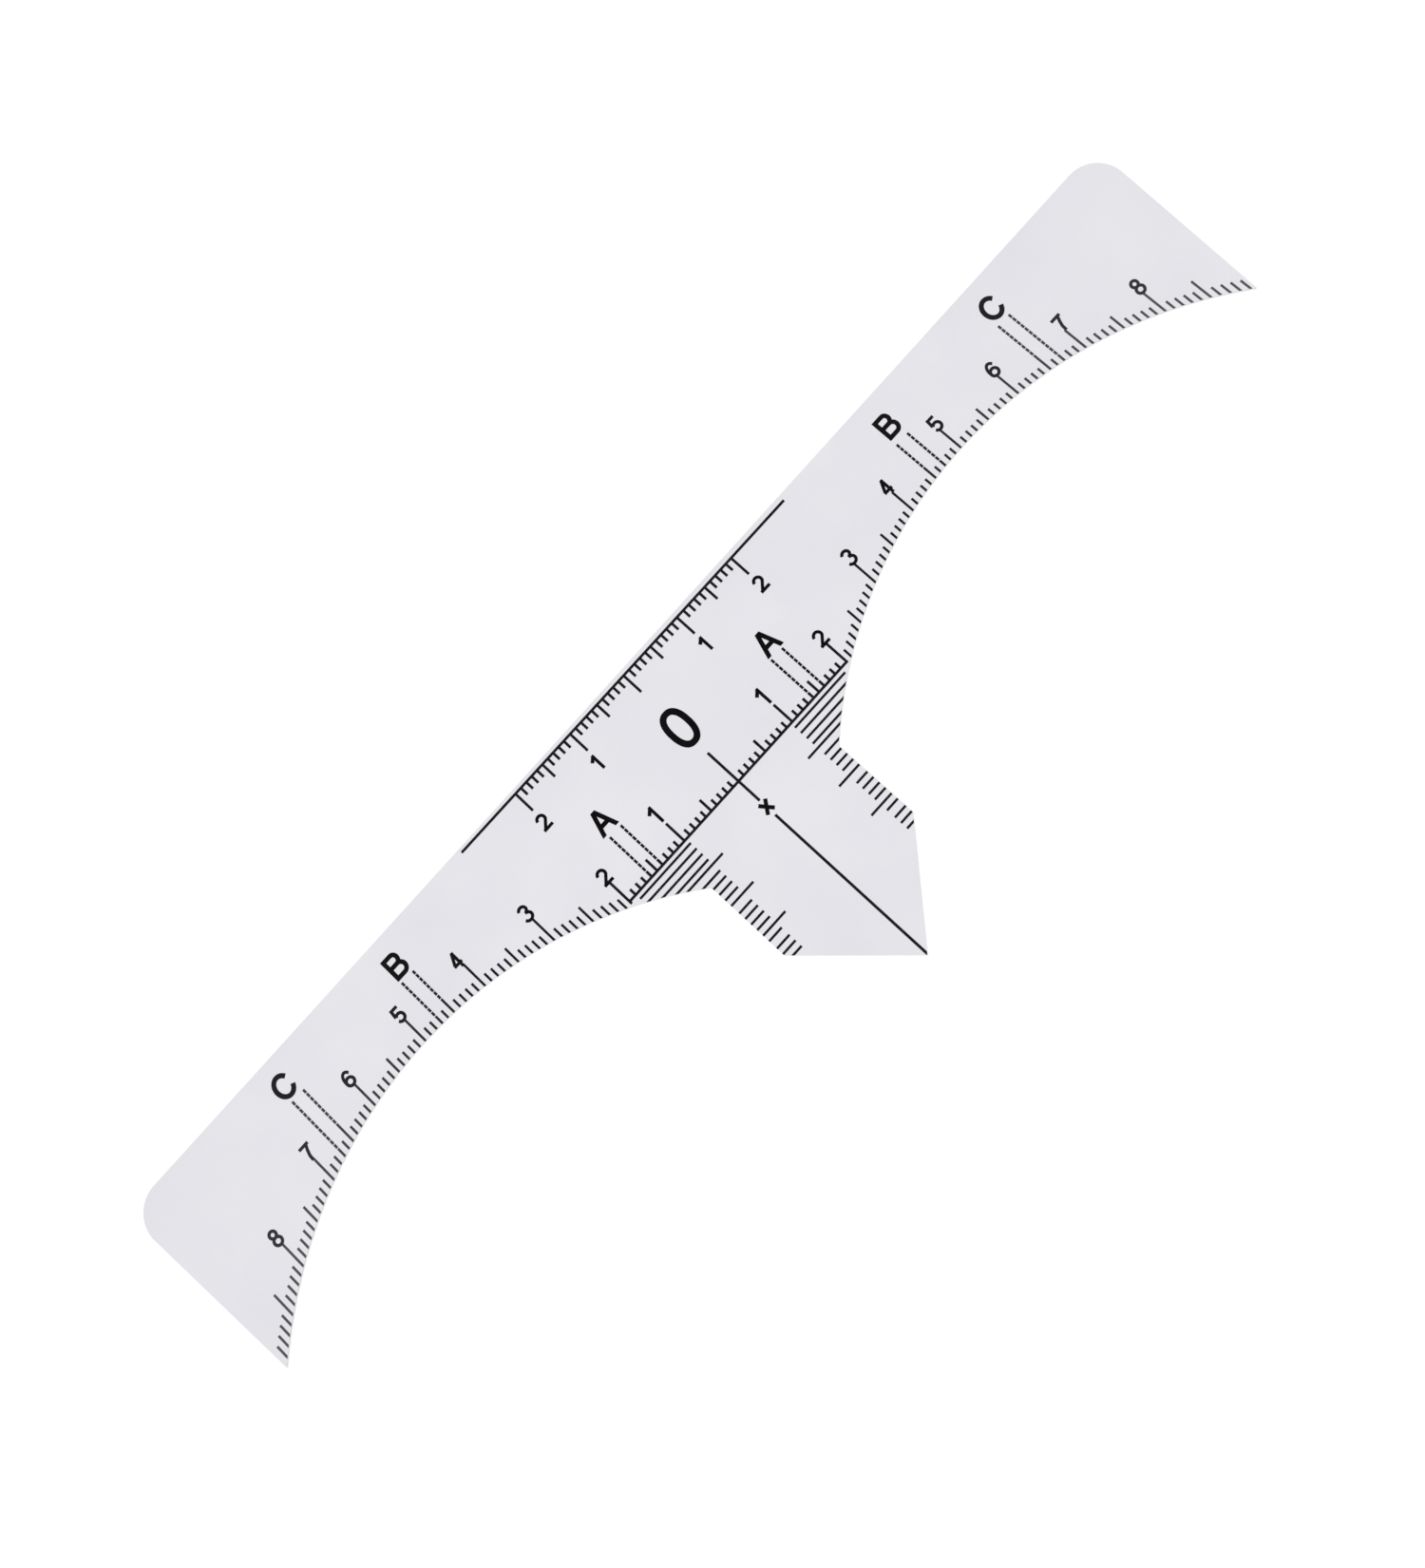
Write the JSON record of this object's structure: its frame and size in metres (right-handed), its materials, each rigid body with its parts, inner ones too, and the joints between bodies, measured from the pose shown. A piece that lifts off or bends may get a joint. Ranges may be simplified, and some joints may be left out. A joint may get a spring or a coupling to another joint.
{
  "type": "brow mapping ruler",
  "caption": "Flat stick-on ruler with a printed millimetre scale, eye arches and a pointed nose tab, for marking out brows; it peels from a release liner.",
  "frame": {"origin": "on the sheet's line of symmetry, at the height of the printed base line, on the underside of the release liner", "axes": "+X along the ruler, to the right as the numerals are read; +Y towards the straight top edge; +Z out of the printed face"},
  "size_m": [0.1818, 0.0521, 0.0003],
  "materials": {
    "film": "frosted",
    "adhesive": "clear, tacky",
    "liner": "glazed",
    "ink": "printed"
  },
  "bodies": {
    "liner": {"release_liner": "liner"},
    "sticker": {"face_film": "film", "adhesive_coat": "adhesive", "top_rule": "ink", "top_numerals": "ink", "zero_numeral": "ink", "base_scale": "ink", "base_numerals": "ink", "centre_line": "ink", "centre_cross": "ink", "left_arc_ticks": "ink", "right_arc_ticks": "ink", "left_arc_numerals": "ink", "right_arc_numerals": "ink", "left_zone_letters": "ink", "right_zone_letters": "ink", "left_zone_guides": "ink", "right_zone_guides": "ink", "left_nose_ticks": "ink", "right_nose_ticks": "ink"}
  },
  "joints": [
    {"name": "sticker_peel", "type": "slide", "parent": "liner", "child": "sticker", "axis": [0, 0, 1], "range_m": [0, 0.04]}
  ]
}
